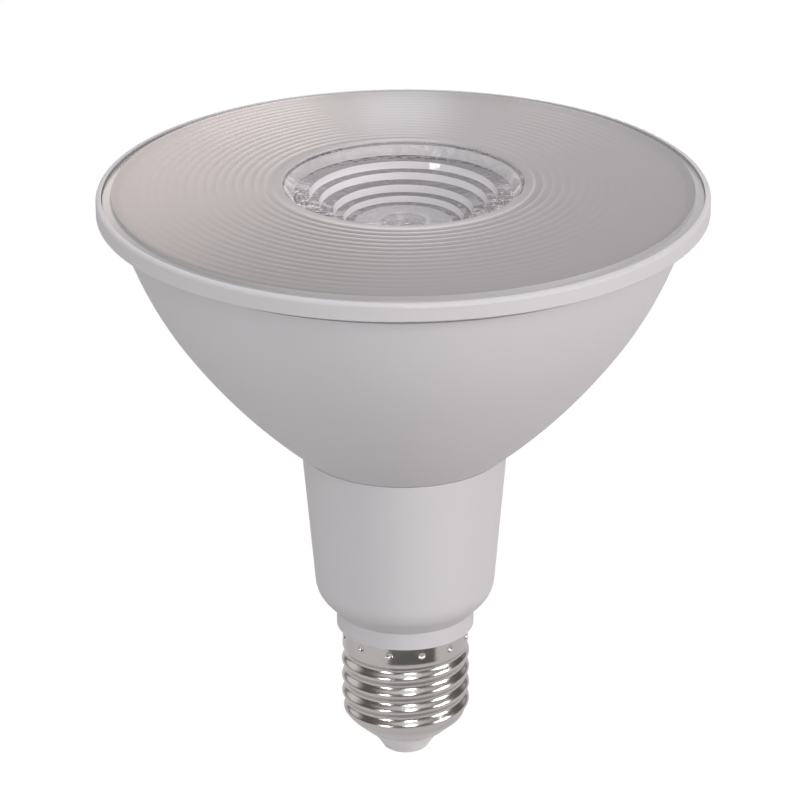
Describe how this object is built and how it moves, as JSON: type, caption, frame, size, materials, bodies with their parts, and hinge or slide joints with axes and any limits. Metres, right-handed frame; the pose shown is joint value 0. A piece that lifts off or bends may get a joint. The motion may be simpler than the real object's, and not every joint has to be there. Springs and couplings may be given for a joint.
{
  "type": "par spotlight bulb",
  "caption": "Reflector-shaped LED spotlight bulb with a rippled front cover, a clear stepped centre optic, a white bowl and neck, and a screw cap.",
  "frame": {"origin": "tip of the centre contact, on the lamp's axis", "axes": "+Z along the lamp's axis from the screw cap towards the lens; +X and +Y across it"},
  "size_m": [0.121, 0.121, 0.1242],
  "materials": {
    "cap_shell": "bright nickel plating",
    "cap_insulator": "smooth white",
    "centre_contact": "nickel plated",
    "driver_housing": "satin white",
    "bowl_housing": "satin white",
    "front_bezel": "satin white",
    "front_lens": "rippled, translucent",
    "centre_optic": "clear, polished",
    "heat_sink": "plain",
    "thermal_pad": "matt grey",
    "led_substrate": "matt white",
    "led_phosphor": "yellow silicone",
    "led_holder": "matt white",
    "screws": "zinc plated",
    "driver_board": "green laminate",
    "capacitor_sleeve": "black sleeve",
    "film_capacitor": "smooth",
    "ferrite": "sintered",
    "winding_tape": "yellow tape",
    "black_package": "moulded",
    "fuse_resistor": "lacquered",
    "wire_red": "insulation",
    "wire_black": "insulation",
    "wire_brown": "insulation",
    "wire_blue": "insulation"
  },
  "bodies": {
    "root": {"cap_shell": "cap_shell", "cap_insulator": "cap_insulator", "centre_contact": "centre_contact", "driver_housing": "driver_housing", "bowl_housing": "bowl_housing", "front_bezel": "front_bezel", "front_lens": "front_lens", "centre_optic": "centre_optic", "heat_sink": "heat_sink", "thermal_pad": "thermal_pad", "led_substrate": "led_substrate", "led_phosphor": "led_phosphor", "led_holder": "led_holder", "holder_screws": "screws", "plate_screws": "screws", "driver_board": "driver_board", "input_capacitor": "capacitor_sleeve", "output_capacitor": "capacitor_sleeve", "film_capacitor": "film_capacitor", "transformer_core": "ferrite", "transformer_winding": "winding_tape", "filter_choke": "ferrite", "bridge_rectifier": "black_package", "fuse_resistor": "fuse_resistor", "driver_chip": "black_package", "live_wire": "wire_brown", "neutral_wire": "wire_blue", "led_wire_positive": "wire_red", "led_wire_negative": "wire_black"}
  },
  "joints": []
}
